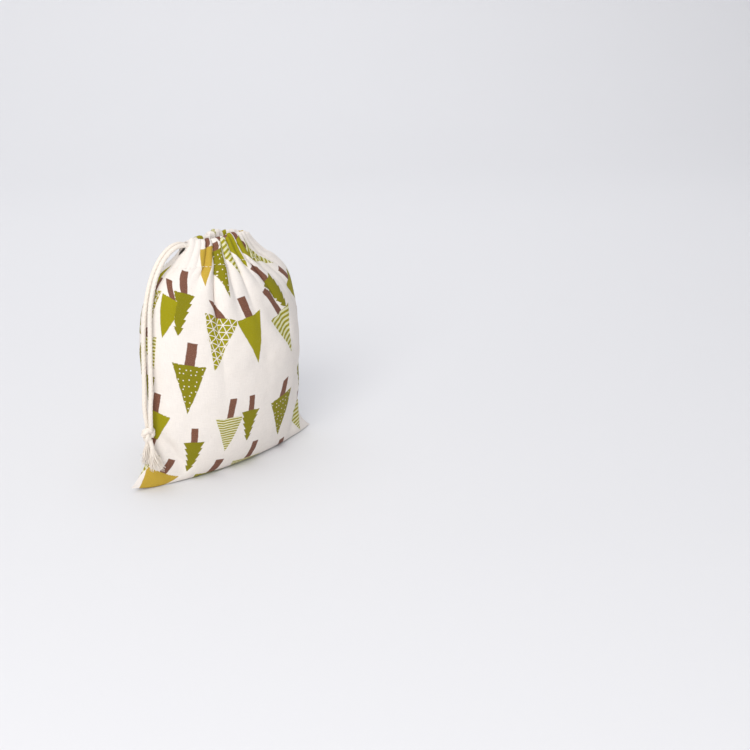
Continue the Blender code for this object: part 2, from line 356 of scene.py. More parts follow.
def print_trees(mesh, side):
    """Writes on each face corner the tree its face belongs to: the corner's place in
    it with the trunk's length, and the tree's kind and half width."""
    corners = np.empty(len(mesh.loops), dtype=np.int32)
    mesh.loops.foreach_get("vertex_index", corners)
    sizes = np.empty(len(mesh.polygons), dtype=np.int32)
    mesh.polygons.foreach_get("loop_total", sizes)
    flat = np.empty(len(mesh.vertices) * 3, dtype=np.float32)
    mesh.attributes["flat"].data.foreach_get("vector", flat)
    spots_of_corners = flat.reshape(-1, 3)[corners, :2]
    face_of_corner = np.repeat(np.arange(len(sizes)), sizes)
    centres = np.stack([np.bincount(face_of_corner, spots_of_corners[:, k]) for k in (0, 1)], 1)
    centres /= sizes[:, None]
    place = np.tile(np.array(NOWHERE, np.float32), (len(corners), 1))
    look = np.tile(np.array(NO_TREE, np.float32), (len(corners), 1))
    nearest = np.ones(len(sizes))
    for kind, tip, turn, tall, width, trunk, lean in tree_places(side):
        x, y = in_tree(centres, tip, turn, tall, lean)
        reach = np.where(y < 1.0, 0.5 * width * np.clip(y, 0.0, 1.0) + ZONE_MARGIN, TRUNK_ZONE)
        middle = 0.5 * (1.0 + trunk)
        off = np.maximum(abs(x) / reach, abs(y - middle) / (middle + ZONE_MARGIN))
        won = off < nearest
        nearest[won] = off[won]
        mine = won[face_of_corner]
        x, y = in_tree(spots_of_corners[mine], tip, turn, tall, lean)
        place[mine] = np.stack([x, y, np.full(len(x), trunk)], 1)
        look[mine] = (kind, 0.5 * width, 0.0)
    for name, values in (("tree_place", place), ("tree_look", look)):
        data = mesh.attributes.new(name, "FLOAT_VECTOR", "CORNER").data
        data.foreach_set("vector", values.ravel())


PRINT_EDGE = 0.012  # softness of the outlines
TIERS = 5.0
TIER_STEP, TIER_FLARE = 0.155, 0.36  # of the half width, gained by each tier and within it
STRIPES, FINE_STRIPES, NET_LINES, DOT_ROWS = 9.0, 14.0, 8.0, 9.0  # for one tree's height
DOT_RADIUS = 0.115  # in dots' distances
NET_WAYS = ((1.0, 0.0), (0.5, 0.87), (0.5, -0.87))  # up and across, for each direction


def printed_cotton():
    """The pouch's cloth with its trees."""
    cloth = cloth_settings()
    made, tree, shader = new_material("Printed cotton")
    flat = attribute(tree, "flat")
    place = attribute(tree, "tree_place")
    ground, height, slub = cotton_base(tree, flat, tuple(cloth.ground))
    x, y, trunk_long = split(tree, place)
    kind, half, _ = split(tree, attribute(tree, "tree_look"))
    # The hand-cut look of the print: its outlines wander a little.
    wander = spots(tree, flat, 170.0, 3.0, 0.6)
    fray = spots(tree, flat, 1500.0, 2.0, 0.6)
    x = x + (wander - 0.5) * 0.035
    y = y + (fray - 0.5) * 0.014
    across = abs(x)

    def is_kind(value):
        return node(tree, "ShaderNodeMath", (kind, float(value), 0.4), operation="COMPARE")

    def inside(distance):
        return steep(distance, 0.0, PRINT_EDGE)

    plain_reach = y * half
    tier = y * TIERS
    climb = tier.math("FRACT")
    stepped_reach = ((tier - climb) * TIER_STEP + climb * TIER_FLARE) * half + 0.01
    reach = plain_reach + (stepped_reach - plain_reach) * is_kind(STEPPED)
    body = inside(reach + (fray - 0.5) * 0.012 - across) * (inside(y) * inside(1.0 - y))
    trunk = (steep(y, 0.985, PRINT_EDGE) * inside(1.0 + trunk_long - y)
             * inside(TRUNK_HALF - across))

    turns = 2.0 * math.pi
    stripes = steep(((y + (x * x) * 0.5) * (turns * STRIPES)).math("SINE"), 0.0, 0.5)
    fine = steep(((y + (wander - 0.5) * 0.02) * (turns * FINE_STRIPES)).math("SINE"), -0.1, 0.6)
    lines = []
    for slope, rise in NET_WAYS:
        step = (x * (rise * NET_LINES) + y * (slope * NET_LINES)).math("FRACT")
        lines.append(steep(abs(step - 0.5), 0.44, 0.04))
    net = lines[0].math("MAXIMUM", lines[1]).math("MAXIMUM", lines[2])
    dot_place = node(tree, "ShaderNodeVectorMath", (place, (DOT_ROWS, DOT_ROWS, 0.0)),
                     operation="MULTIPLY")
    dots = node(tree, "ShaderNodeTexVoronoi",
                {"Vector": dot_place, "Scale": 1.0, "Randomness": 0.5}, voronoi_dimensions="2D")
    dots = steep(DOT_RADIUS - dots, 0.0, 0.05)

    darker = [0.5 * (a + b) for a, b in zip(cloth.olive, cloth.dark_olive)]
    ink = tuple(cloth.olive)
    for share, other in (
            (is_kind(STEPPED), darker), (is_kind(DOTTED), darker),
            (is_kind(YELLOW), tuple(cloth.mustard)),
            (is_kind(STRIPED) * (1.0 - stripes), tuple(cloth.pale)),
            (is_kind(FINE) * (1.0 - fine), tuple(cloth.pale))):
        ink = mix_colour(tree, share, ink, other)
    shade = spots(tree, flat, 60.0, 3.0, 0.6)
    deep_ink = node(tree, "ShaderNodeVectorMath", (ink, (0.66, 0.66, 0.66)), operation="MULTIPLY")
    ink = mix_colour(tree, steep(fray, 0.52, 0.3) * 0.5, ink, deep_ink)
    ink = mix_colour(tree, (shade - 0.3) * 0.5, ink, scaled(cloth.olive, 0.72))
    bare = is_kind(NET) * net + is_kind(DOTTED) * dots
    bare = bare + is_kind(FINE) * (1.0 - fine) * 0.25
    # Ink misses the low threads of the weave here and there.
    misses = steep(spots(tree, flat, 1.0, 3.0, 0.7, (2200.0, 1500.0, 1.0)), 0.66, 0.08)
    cover = body * (1.0 - bare) * (1.0 - misses * 0.22)
    wood = mix_colour(tree, steep(fray, 0.6, 0.2) * 0.6, tuple(cloth.trunk),
                      scaled(cloth.trunk, 2.6))
    colour = mix_colour(tree, trunk * (1.0 - misses * 0.25), ground, wood)
    colour = mix_colour(tree, cover.math("MAXIMUM", 0.0), colour, ink)
    inked = (body + trunk).math("MINIMUM", 1.0)
    plug(tree, shader, Base_Color=colour, Roughness=0.93 - inked * 0.10 - slub * 0.06,
         Normal=bumped(tree, height, 0.55),
         Sheen_Weight=0.05, Sheen_Roughness=0.5, Specular_IOR_Level=0.12)
    return made


def reverse_cotton():
    """The cloth's unprinted reverse."""
    made, tree, shader = new_material("Cotton reverse")
    tone, height, slub = cotton_base(
        tree, attribute(tree, "flat"), scaled(cloth_settings().ground, 0.93))
    plug(tree, shader, Base_Color=tone, Roughness=0.95 - slub * 0.06,
         Normal=bumped(tree, height, 0.55), Sheen_Weight=0.2, Specular_IOR_Level=0.25)
    return made


# ---- cloth's shape
def ease(share):
    """Smooth step from 0 to 1."""
    share = min(1.0, max(0.0, share))
    return share * share * (3.0 - 2.0 * share)


def between(low, high, share):
    return low + (high - low) * share


def spline(a, b, c, d, t):
    """Smooth curve from b at t = 0 to c at t = 1, on its way from a to d."""
    return 0.5 * (2 * b + (c - a) * t + (2 * a - 5 * b + 4 * c - d) * t**2
                  + (3 * b - a - 3 * c + d) * t**3)


FLOOR_GAP = 0.0006
STITCH_HEIGHT = PANEL_HIGH[2] - 0.0015  # the stitch line at the foot of the casing
EDGE_HEIGHT = CASING_TOP + 0.0012  # the gathered edge of the mouth
PINCH = 1.1  # 1 makes a section round at the seams, more makes it pointed
# The casing's path over the cord, from the stitch line round the mouth's edge and
# down inside: half width, half depth, height, share of the gathers' depth there, and
# the gap from the pouch's middle plane at the slit.
CASING_PATH = (
    (MOUTH_REACH + 0.0190, 0.0220, STITCH_HEIGHT, 0.85, 0.0),
    (MOUTH_REACH + 0.0110, 0.0172, between(STITCH_HEIGHT, CORD_HEIGHT, 0.50), 0.72, 0.0),
    (MOUTH_REACH + 0.0048, 0.0138, CORD_HEIGHT - 0.0005, 0.62, 0.0040),
    (MOUTH_REACH + 0.0020, 0.0114, between(CORD_HEIGHT, EDGE_HEIGHT, 0.60), 0.58, 0.0046),
    (MOUTH_REACH + 0.0004, 0.0084, EDGE_HEIGHT, 0.50, 0.0030),
    (MOUTH_REACH - 0.0012, 0.0058, EDGE_HEIGHT - 0.0006, 0.30, 0.0024),
    (MOUTH_REACH - 0.0022, 0.0044, CORD_HEIGHT + 0.0010, 0.16, 0.0012),
    (MOUTH_REACH - 0.0010, 0.0050, CORD_HEIGHT - 0.0055, 0.20, 0.0010),
    (MOUTH_REACH + 0.0040, 0.0110, STITCH_HEIGHT + 0.0010, 0.50, 0.0010),
)
BOTTOM_ROWS, BODY_ROWS, CASING_ROWS = 4, 90, 32
COLUMNS, SECTION_STEPS = 140, 2000


def body_section(z):
    """Half width, half depth and pointedness of the body at a height."""
    belly = cloth_settings().belly_height
    wide_there = cloth_settings().belly_width
    if z <= belly:
        up = max(0.0, z / belly)
        width = wide_there + (CORNER - wide_there) * (1.0 - up) ** 6
        depth = between(BASE_DEPTH, BELLY_DEPTH, math.sin(0.5 * math.pi * up) ** 0.5)
        return width, depth, PINCH + 0.7 * (1.0 - up) ** 3
    up = min(1.0, (z - belly) / (STITCH_HEIGHT - belly))
    mouth_width, mouth_depth = CASING_PATH[0][:2]
    width = between(mouth_width, wide_there, (1.0 - up**4.2) ** (1.0 / 1.15))
    depth = between(mouth_depth, BELLY_DEPTH, (1.0 - up**2.5) ** (1.0 / 1.1))
    return width, depth, PINCH


def casing_section(share):
    """Values of the casing's path at a share of its length."""
    spot = share * (len(CASING_PATH) - 1)
    i = min(len(CASING_PATH) - 2, int(spot))
    rows = [CASING_PATH[max(0, min(len(CASING_PATH) - 1, i + k))] for k in (-1, 0, 1, 2)]
    return [spline(*values, spot - i) for values in zip(*rows)]


def swell(angle, pinch):
    """Share of the half depth at an angle round a section, none at the seams."""
    return math.sin(angle) ** pinch if 1e-6 < angle < math.pi - 1e-6 else 0.0


def evenly(points, count):
    """Evenly spaced places along a line, each as a point's index and the share of the
    step after it, and the line's length."""
    runs = [0.0]
    for p, q in zip(points, points[1:]):
        runs.append(runs[-1] + (q - p).length)
    places, k = [], 0
    for i in range(count + 1):
        target = runs[-1] * i / count
        while k < len(points) - 2 and runs[k + 1] < target:
            k += 1
        places.append((k, (target - runs[k]) / (runs[k + 1] - runs[k])))
    return places, runs[-1]


def face_columns():
    """Angle round the pouch and share of the width for each column of a face. The
    columns are evenly spaced on the flat face and round the belly."""
    width, depth, pinch = body_section(cloth_settings().belly_height)
    angles = [math.pi * i / SECTION_STEPS for i in range(SECTION_STEPS + 1)]
    belly = [Vector((-width * math.cos(a), -depth * swell(a, pinch))) for a in angles]
    places, _ = evenly(belly, COLUMNS)
    return [(math.pi * (k + share) / SECTION_STEPS, column / COLUMNS)
            for column, (k, share) in enumerate(places)]


# Creases of the gathered mouth on each face: share of the width, depth at the stitch
# line and length in millimetres, and how far along the width each drifts on its way.
CREASES = {
    -1: ((0.060, 1.0, 8, 0.0), (0.140, 0.9, 8, -0.02), (0.205, 1.2, 10, -0.02),
         (0.262, 4.2, 12, -0.02), (0.334, 9.5, 58, 0.006), (0.428, 5.0, 30, 0.015),
         (0.500, 5.0, 40, 0.03), (0.552, 4.2, 22, 0.05), (0.612, 6.0, 56, 0.10),
         (0.690, 4.2, 34, 0.08), (0.770, 4.0, 46, 0.09), (0.850, 2.6, 20, 0.04),
         (0.930, 1.6, 12, 0.02)),
    1: ((0.060, 2.2, 14, -0.01), (0.140, 3.2, 26, -0.04), (0.225, 4.6, 40, -0.07),
        (0.295, 3.6, 24, -0.04), (0.365, 5.4, 44, -0.05), (0.440, 4.2, 26, -0.02),
        (0.505, 6.2, 50, 0.01), (0.570, 4.0, 24, 0.03), (0.640, 5.2, 42, 0.07),
        (0.715, 3.8, 28, 0.06), (0.795, 4.6, 38, 0.07), (0.880, 3.0, 20, 0.03)),
}
CREASE_NARROW, CREASE_BROAD = 0.012, 0.034  # half widths, as shares of the width
CREASE_END = 2.2  # in lengths of the crease, where nothing is left of it
CREASE_SLIDE = 0.55  # sideways for each unit of depth
PUFF_REACH = 0.034


def gather_shift(share, drop, side):
    """Outward and sideways shift that the creases give at a drop below the stitch line."""
    out = side_way = 0.0
    for its_share, depth, length, drift in CREASES[side]:
        on = drop / (0.001 * length)
        if on > CREASE_END:
            continue
        half = between(CREASE_NARROW, CREASE_BROAD, min(1.0, on))
        off = (share - its_share - drift * on) / half
        fall = 0.001 * depth * math.exp(-(on ** 1.5))
        out -= fall * math.exp(-(abs(off) ** 1.5))
        side_way -= CREASE_SLIDE * fall * off * math.exp(-off * off)
    out += cloth_settings().puff * math.exp(-((drop / PUFF_REACH) ** 2))
    calm = ease(share / 0.04) * ease((1.0 - share) / 0.04)
    return out * calm, side_way * calm


# Long folds: side, where each starts and ends (share of the width, height), how far
# it goes in (below 0) or out, and its half width at the start and the end.
FOLDS = (
    (-1, (0.385, 0.186), (0.405, 0.150), 0.0034, 0.0050, 0.0080),
    (-1, (0.290, 0.186), (0.270, 0.160), 0.0030, 0.0070, 0.0110),
    (-1, (0.820, 0.190), (0.880, 0.148), -0.0085, 0.0260, 0.0220),
    (-1, (0.640, 0.118), (0.820, 0.090), 0.0034, 0.0120, 0.0200),
    (-1, (0.600, 0.150), (0.740, 0.104), -0.0026, 0.0070, 0.0110),
    (-1, (0.900, 0.086), (0.760, 0.030), -0.0030, 0.0120, 0.0160),
    (-1, (0.420, 0.060), (0.640, 0.022), -0.0020, 0.0140, 0.0180),
    (-1, (0.045, 0.050), (0.210, 0.012), -0.0058, 0.0050, 0.0050),
    (-1, (0.020, 0.176), (0.050, 0.150), 0.0024, 0.0040, 0.0060),
    (-1, (0.950, 0.046), (0.790, 0.008), -0.0048, 0.0055, 0.0055),
    (1, (0.240, 0.120), (0.380, 0.080), -0.0028, 0.0100, 0.0140),
    (1, (0.620, 0.130), (0.780, 0.070), -0.0030, 0.0100, 0.0150),
    (1, (0.420, 0.060), (0.560, 0.020), 0.0022, 0.0140, 0.0180),
    (1, (0.900, 0.046), (0.780, 0.008), -0.0048, 0.0055, 0.0055),
    (1, (0.100, 0.046), (0.230, 0.008), -0.0048, 0.0055, 0.0055),
)
MOUTH_FOLDS = 0.17  # folds that start above this height are deepest at their start


def fold_shift(share, z, side):
    """How far the long folds move the cloth outwards at a place."""
    shift = 0.0
    wide = cloth_settings().flat_width
    for its_side, start, end, depth, narrow, broad in FOLDS:
        if its_side != side:
            continue
        a = Vector((start[0] * wide, start[1]))
        b = Vector((end[0] * wide, end[1]))
        here = Vector((share * wide, z))
        along = (here - a).dot(b - a) / (b - a).length_squared
        held = min(1.0, max(0.0, along))
        away = (here - a.lerp(b, held)).length
        width = between(narrow, broad, held)
        if start[1] > MOUTH_FOLDS:
            strength = 1.0 - 0.75 * ease(held)
        else:
            strength = math.sin(math.pi * between(0.15, 0.85, held))
        shift += depth * strength * math.exp(-((away / width) ** 2))
    return shift


def surface_point(angle, share, side, section, z, gather, end_gap=0.0):
    """Point of the cloth on a section, moved by the gathers and by unevenness."""
    width, depth, pinch = section
    bulge = swell(angle, pinch)
    open_end = end_gap * (1.0 - ease(share / 0.07))
    base = Vector((-width * math.cos(angle), side * (open_end + (depth - open_end) * bulge), z))
    out = Vector((-math.cos(angle) / width, side * bulge / depth, 0.0)).normalized()
    along = Vector((out.y * side, -out.x * side, 0.0))
    calm = ease(share / 0.03) * ease((1.0 - share) / 0.03)
    lumpy = 0.0
    if 0.004 < z < STITCH_HEIGHT:
        size = ease(z / 0.03) * calm
        spot = Vector((share * 7.0, z * 32.0, side * 4.0))
        lumpy = 0.0011 * size * noise.noise(spot) + 0.00045 * size * noise.noise(spot * 2.7)
    outward, sideways = gather
    return base + out * (outward + lumpy) + along * sideways


def fold_way(angle, share, side):
    """Direction in which the long folds move the cloth."""
    bulge = math.sin(angle) if 0.0 < share < 1.0 else 0.0
    return Vector((-math.cos(angle) * 0.5, side * bulge, 0.0)) * min(1.0, 3.0 * bulge)


def corner_pull(share, z):
    """The left bottom corner is drawn out and a little off the ground."""
    return Vector((-0.0045, 0.0, 0.0040)) * ease(1.0 - share / 0.14) * ease(1.0 - z / 0.045)


def edge_drop(share, side):
    """How far the mouth's edge hangs lower than its highest place."""
    if side > 0:
        return 0.0032 * (1.0 - ease((share - 0.30) / 0.35)) + 0.0016 * ease((share - 0.85) / 0.15)
    dip = ease((share - 0.10) / 0.2) * (1.0 - ease((share - 0.45) / 0.2))
    return 0.0012 * dip + 0.0018 * ease((share - 0.85) / 0.15)


def mouth_tilt(spot):
    """Shift in height that lowers the mouth towards the closed seam."""
    return -0.0048 * ease((spot.x + 0.004) / 0.040) * ease((spot.z - 0.155) / 0.035)


def bottom_row(side, part, columns):
    """Points on the ground, from the pouch's middle plane (part 0) outwards."""
    width, depth, pinch = body_section(FLOOR_GAP)
    z = FLOOR_GAP - 0.0002 * (1.0 - part)
    return [Vector((-width * math.cos(a), side * depth * part * swell(a, pinch), z))
            + corner_pull(s, FLOOR_GAP) for a, s in columns]


def body_row(side, part, columns):
    """Points of the panel, from the ground (part 0) to the stitch line (part 1)."""
    z = between(FLOOR_GAP, STITCH_HEIGHT, 0.72 * part + 0.28 * ease(part))
    section = body_section(z)
    row = []
    for a, s in columns:
        spot = surface_point(a, s, side, section, z, gather_shift(s, STITCH_HEIGHT - z, side))
        row.append(spot + fold_way(a, s, side) * fold_shift(s, z, side) + corner_pull(s, z))
    return row


def casing_row(side, part, columns):
    """Points from the stitch line (part 0), over the mouth's edge and down inside."""
    width, depth, z, crease_share, end_gap = casing_section(part)
    over_edge = math.sin(math.pi * min(1.0, part * 1.1))
    row = []
    for a, s in columns:
        outward, sideways = gather_shift(s, 0.0, side)
        spot = surface_point(a, s, side, (width, depth, PINCH), z,
                             (outward * crease_share, sideways * crease_share), end_gap)
        shift = fold_shift(s, STITCH_HEIGHT, side) * (1.0 - part) ** 3
        lump = noise.noise(Vector((s * 14.0, side * 2.0, 0.5)))
        ruffle = over_edge * (0.26 * outward + 0.0022 * lump - edge_drop(s, side))
        row.append(spot + fold_way(a, s, side) * shift + Vector((0.0, 0.0, ruffle)))
    return row


def tilted(row):
    """The same points, lowered with the mouth."""
    for spot in row:
        spot.z += mouth_tilt(spot)
    return row


def cloth_rows(side):
    """Rows of points of one face: along the bottom fold, up the body, over the
    casing and down inside it."""
    columns = face_columns()
    rows = [bottom_row(side, i / BOTTOM_ROWS, columns) for i in range(BOTTOM_ROWS)]
    rows += [body_row(side, i / BODY_ROWS, columns) for i in range(BODY_ROWS)]
    rows += [casing_row(side, i / CASING_ROWS, columns) for i in range(CASING_ROWS + 1)]
    return [tilted(row) for row in rows]


def flat_places(rows):
    """Places on the flat face for each point: across it, and up from the bottom fold
    by the length of cloth that each column has, brought to one height."""
    cloth = cloth_settings()
    top = BOTTOM_ROWS + BODY_ROWS + CASING_ROWS // 2
    ups = []
    for column in range(COLUMNS + 1):
        run, line = 0.0, [0.0]
        for low, high in zip(rows, rows[1:]):
            run += (high[column] - low[column]).length
            line.append(run)
        stretch = cloth.flat_height / line[top]
        ups.append([value * stretch for value in line])
    return [[((c / COLUMNS - 0.5) * cloth.flat_width, ups[c][r]) for c in range(COLUMNS + 1)]
            for r in range(len(rows))]


def cloth_mesh(rows, places, side):
    """Rows of points as a mesh that keeps their flat places."""
    mesh = bpy.data.meshes.new("cloth")
    count = COLUMNS + 1
    faces = []
    for r in range(len(rows) - 1):
        for c in range(COLUMNS):
            quad = (r * count + c, r * count + c + 1, (r + 1) * count + c + 1, (r + 1) * count + c)
            faces.append(quad if side < 0 else quad[::-1])
    mesh.from_pydata([p for row in rows for p in row], [], faces)
    flat = mesh.attributes.new("flat", "FLOAT_VECTOR", "POINT").data
    for spot, (across, up) in zip(flat, (place for row in places for place in row)):
        spot.vector = (across, up, 0.0)
    mesh.shade_smooth()
    return mesh


def bake_modifiers(piece):
    """Applies every modifier on a piece."""
    depsgraph = bpy.context.evaluated_depsgraph_get()
    mesh = bpy.data.meshes.new_from_object(
        piece.evaluated_get(depsgraph), preserve_all_data_layers=True, depsgraph=depsgraph)
    piece.modifiers.clear()
    piece.data = mesh


def add_object(name, data, *materials):
    made = bpy.data.objects.new(name, data)
    bpy.context.scene.collection.objects.link(made)
    for finish in materials:
        data.materials.append(finish)
    return made


def mouth_blend(piece, side):
    """Bakes the piece's placement into its mesh."""
    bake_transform(piece)


def make_cloth(name, side, printed, reverse):
    """One face: half the bottom fold, the panel, and the casing turned in over the cord."""
    cloth = cloth_settings()
    rows = cloth_rows(side)
    piece = add_object(f"{name}_cloth", cloth_mesh(rows, flat_places(rows), side), printed, reverse)
    smooth = piece.modifiers.new("Smooth", "SUBSURF")
    smooth.levels = smooth.render_levels = 1
    bake_modifiers(piece)
    layer = piece.modifiers.new("Thickness", "SOLIDIFY")
    layer.thickness = cloth.thickness
    layer.offset = -1.0
    layer.material_offset = 1
    bake_modifiers(piece)
    print_trees(piece.data, side)
    mouth_blend(piece, side)
    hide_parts(f"{name}_panel", f"casing_{name}", "bottom_fold")


def dress_allowance(name, reverse):
    """The raw edges inside a side seam take the cloth's unprinted look."""
    materials = bpy.data.objects[f"{name}_seam_allowance"].data.materials
    materials.clear()
    materials.append(reverse)


# ---- cord and thread
def smooth_line(points, spacing):
    """Evenly spaced points on a smooth curve through the given ones."""
    knots = [Vector(p) for p in points]
    knots = [2 * knots[0] - knots[1], *knots, 2 * knots[-1] - knots[-2]]
    fine = []
    for a, b, c, d in zip(knots, knots[1:], knots[2:], knots[3:]):
        for i in range(24):
            fine.append(spline(a, b, c, d, i / 24.0))
    fine.append(knots[-2])
    length = sum((q - p).length for p, q in zip(fine, fine[1:]))
    places, _ = evenly(fine, max(3, round(length / spacing)))
    return [fine[k].lerp(fine[k + 1], share) for k, share in places[:-1]] + [fine[-1]], length


def frames_along(line):
    """Unit vectors square to the line at each point, carried along without twist."""
    sides, last = [], Vector((0.0, 1.0, 0.0))
    for i in range(len(line)):
        way = (line[min(i + 1, len(line) - 1)] - line[max(i - 1, 0)]).normalized()
        last = last - way * last.dot(way)
        last = last.normalized() if last.length > 1e-6 else way.orthogonal().normalized()
        sides.append((way, last.copy(), way.cross(last)))
    return sides


def plied_tube(line, radius, around=24, plies=3, end_share=1.0, turn=0.0):
    """Points and faces of a twisted cord along a line, and each point's place on it."""
    lay = cord_settings().twist
    points, places, faces, run = [], [], [], 0.0
    for i, (spot, (way, first, second)) in enumerate(zip(line, frames_along(line))):
        if i:
            run += (spot - line[i - 1]).length
        taper = between(1.0, end_share, i / (len(line) - 1))
        for k in range(around):
            angle = 2.0 * math.pi * k / around
            inside = angle - 2.0 * math.pi * run / lay + turn
            bulge = abs(math.cos(0.5 * plies * inside)) ** 0.8
            reach = radius * taper * (0.83 + 0.17 * bulge)
            points.append(spot + (first * math.cos(angle) + second * math.sin(angle)) * reach)
            places.append((math.cos(inside), math.sin(inside), run))
    for i in range(len(line) - 1):
        for k in range(around):
            j = (k + 1) % around
            low, high = i * around, (i + 1) * around
            faces.append((low + k, low + j, high + j, high + k))
    first_cap = tuple(reversed(range(around)))
    last_cap = tuple(range((len(line) - 1) * around, len(line) * around))
    return points, faces + [first_cap, last_cap], places


def add_tubes(name, parts, finish, stands_for):
    """A piece made of several (points, faces, places), in the place of a CAD node."""
    mesh = bpy.data.meshes.new(name)
    points, faces, places = [], [], []
    for some_points, some_faces, some_places in parts:
        shift = len(points)
        points += some_points
        faces += [tuple(v + shift for v in face) for face in some_faces]
        places += some_places
    mesh.from_pydata(points, [], faces)
    data = mesh.attributes.new("cord_place", "FLOAT_VECTOR", "POINT").data
    data.foreach_set("vector", [value for place in places for value in place])
    mesh.shade_smooth()
    piece = add_object(name, mesh, finish)
    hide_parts(stands_for)
    return piece


def cotton_cord(name, colour, fibre_height=0.00022):
    """Soft spun cotton: fine fibres along each ply, darker between the plies."""
    made, tree, shader = new_material(name)
    place = attribute(tree, "cord_place")
    where = node(tree, "ShaderNodeNewGeometry")
    fibres = spots(tree, place, 1.0, 3.0, 0.7, (14.0, 14.0, 420.0))
    fuzz = spots(tree, where, 2600.0, 3.0, 0.7)
    cloud = spots(tree, where, 120.0, 2.0)
    tone = mix_colour(tree, steep(fibres, 0.5, 0.5), scaled(colour, 0.86), colour)
    tone = mix_colour(tree, (cloud - 0.3) * 0.5, tone, scaled(colour, 0.96, 0.91, 0.84))
    bump = bumped(tree, fibres * fibre_height + fuzz * 0.00012, 0.7)
    plug(tree, shader, Base_Color=tone, Roughness=0.94 - fuzz * 0.12, Normal=bump,
         Sheen_Weight=0.35, Sheen_Roughness=0.45, Specular_IOR_Level=0.2)
    return made


LANE = 0.00225  # half the distance between the two strands
LEAN = -0.0007  # the back strand lies this far out along the width, the front one as far in
EXIT_LANE = 0.0041  # half the distance between them where they leave the casing
LINE_STEP = 0.0006  # between the points of a cord


def exit_point(side):
    """Where a strand leaves the casing."""
    inner_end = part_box("front_strand" if side < 0 else "back_strand")[1][0]
    return Vector((inner_end, side * EXIT_LANE, CORD_HEIGHT))


def strand_route(side):
    """Route of a hanging strand, from the slit over the shoulder to the knot."""
    lane, lean = side * LANE, side * LEAN
    return [
        exit_point(side),
        (-0.0385, lane * 1.45, 0.2052),
        (-0.0470, lane * 1.25 - 0.0004, 0.2045),
        (-0.0565, lane * 1.20 - 0.0012, 0.1995),
        (-0.0655, lane * 1.20 - 0.0024, 0.1905),
        (-0.0735, lane * 1.30 - 0.0040, 0.1775),
        (-0.0795, lane * 1.45 - 0.0054, 0.1600),
        (-0.0828 + lean, lane * 1.55 - 0.0064, 0.1400),
        (-0.0850 + lean, lane * 1.60 - 0.0070, 0.1150),
        (-0.0866 + lean, lane * 1.60 - 0.0074, 0.0920),
        (-0.0882 + lean, lane * 1.40 - 0.0075, 0.0740),
        (KNOT_MIDDLE[0] + 0.0014, KNOT_MIDDLE[1] + lane, KNOT_HIGH[2] - 0.0015),
    ]


def make_strand(name, side, finish):
    """A hanging strand, from the slit over the shoulder to the knot."""
    radius = 0.5 * cord_settings().diameter
    line, length = smooth_line(strand_route(side), LINE_STEP)
    piece = add_tubes(f"{name}_drawstring", [plied_tube(line, radius)], finish,
                      f"{name}_strand")
    tuple(line[0])
    tuple(line[-1])
    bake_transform(piece)
    tuple(line[0])
    [tuple(p) for p in line]


RUN_BOW = 0.0036  # how much further out the run lies in the middle of its casing
RUN_BEND = 0.026  # where it starts to turn round the closed seam


def make_run(name, side, finish):
    """The drawstring inside one half of the casing."""
    radius = 0.5 * cord_settings().diameter
    reach = MOUTH_REACH - 0.001
    line = []
    for i in range(90):
        x = between(-reach, reach, i / 89)
        bow = 1.0 - (x / MOUTH_REACH) ** 2
        past = max(0.0, (x - RUN_BEND) / (reach - RUN_BEND))
        turn_in = math.sqrt(max(0.0, 1.0 - past**2))
        spot = Vector((x, side * (EXIT_LANE + RUN_BOW * bow) * turn_in, CORD_HEIGHT))
        line.append(spot)
    piece = add_tubes(f"{name}_drawstring_run", [plied_tube(tilted(line), radius * 0.95)], finish,
                      f"drawstring_in_{name}_casing")
    mouth_blend(piece, side)


KNOT_SIZE = 0.00175
KNOT_POINTS = 150
KNOT_TURNS = (0.0, 0.55)  # of its two cords, about Y


def knot_line(turn):
    """One cord's way through the overhand knot, a three-lobed loop seen from the side."""
    way = Matrix.Rotation(turn, 3, "Y") @ Matrix.Rotation(0.35, 3, "Z")
    line = []
    for i in range(KNOT_POINTS):
        t = 2.0 * math.pi * i / KNOT_POINTS + 0.4
        loop = Vector((math.sin(t) + 2.0 * math.sin(2.0 * t), -math.sin(3.0 * t) * 1.15,
                       math.cos(t) - 2.0 * math.cos(2.0 * t)))
        line.append(way @ loop * KNOT_SIZE + KNOT_MIDDLE)
    return line + [line[0], line[1]]


def make_knot(finish):
    """The overhand knot that ties both strands."""
    radius = 0.5 * cord_settings().diameter
    parts = [plied_tube(knot_line(turn), radius) for turn in KNOT_TURNS]
    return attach(add_tubes("overhand_knot", parts, finish, "knot"),
                   "knot_and_tails")


TAIL_SPREAD = {-1: -0.0055, 1: 0.0025}  # the front tail falls forwards


def tail_route(side):
    """Route of a tail under the knot."""
    x, y, z = KNOT_MIDDLE[0], KNOT_MIDDLE[1], KNOT_LOW[2]
    spread = TAIL_SPREAD[side]
    lane = y + side * LANE
    return [
        (x, lane, z + 0.0012),
        (x + 0.0003, lane + 0.40 * spread, z - 0.0070),
        (x + 0.0002, lane + 0.80 * spread, z - 0.0140),
        (x - 0.0012, lane + spread, z - 0.0225),
    ]


TAIL_DRIFT = Vector((0.0016, -0.0012, 0.0))  # shift of the frayed ends as they hang
TAIL_SOLID, TAIL_ROOT = 0.38, 0.24  # shares of a tail: its twisted part, where fibres start
FIBRES, FIBRE_RADIUS = 150, 0.00036
FIBRE_FAN, FIBRE_CURL = 0.0058, 0.0020


